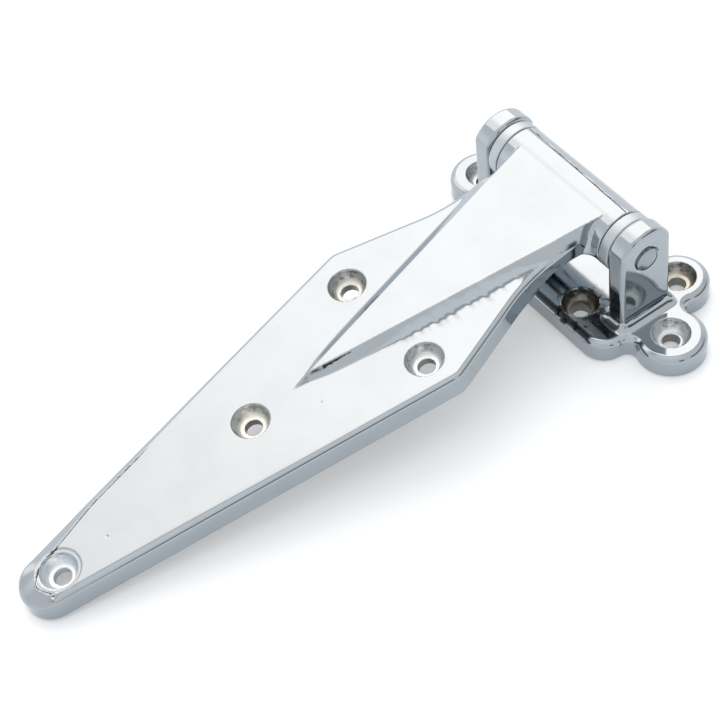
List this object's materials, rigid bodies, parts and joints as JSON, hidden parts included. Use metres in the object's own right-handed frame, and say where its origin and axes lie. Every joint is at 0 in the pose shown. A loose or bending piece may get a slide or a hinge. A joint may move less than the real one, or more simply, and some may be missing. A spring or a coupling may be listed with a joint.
{
  "type": "fridge door hinge",
  "caption": "Chrome strap hinge for a refrigerator or cold-room door: a long tapered strap with a raised arm, pinned between the ears of a lobed screw-on flange.",
  "frame": {"origin": "on the flange's flat mounting face, straight under the middle of the hinge pin", "axes": "+X from the pin towards the strap's tip, +Y along the hinge pin, +Z away from the surface that the flange is screwed to"},
  "size_m": [0.2548, 0.1252, 0.0478],
  "materials": {
    "strap_chrome": "bright chrome plate on a polished casting",
    "flange_chrome": "bright chrome plate on a polished casting",
    "pin_metal": "bright, with riveted ends",
    "spacer_chrome": "soft bright"
  },
  "bodies": {
    "flange": {"flange": "flange_chrome", "hinge_pin": "pin_metal", "spacer_near": "spacer_chrome", "spacer_far": "spacer_chrome"},
    "strap": {"strap": "strap_chrome"}
  },
  "joints": [
    {"name": "hinge", "type": "hinge", "parent": "flange", "child": "strap", "pos_m": [0, 0, 0.0362], "axis": [0, -1, 0], "range_deg": [0, 188.88]}
  ]
}
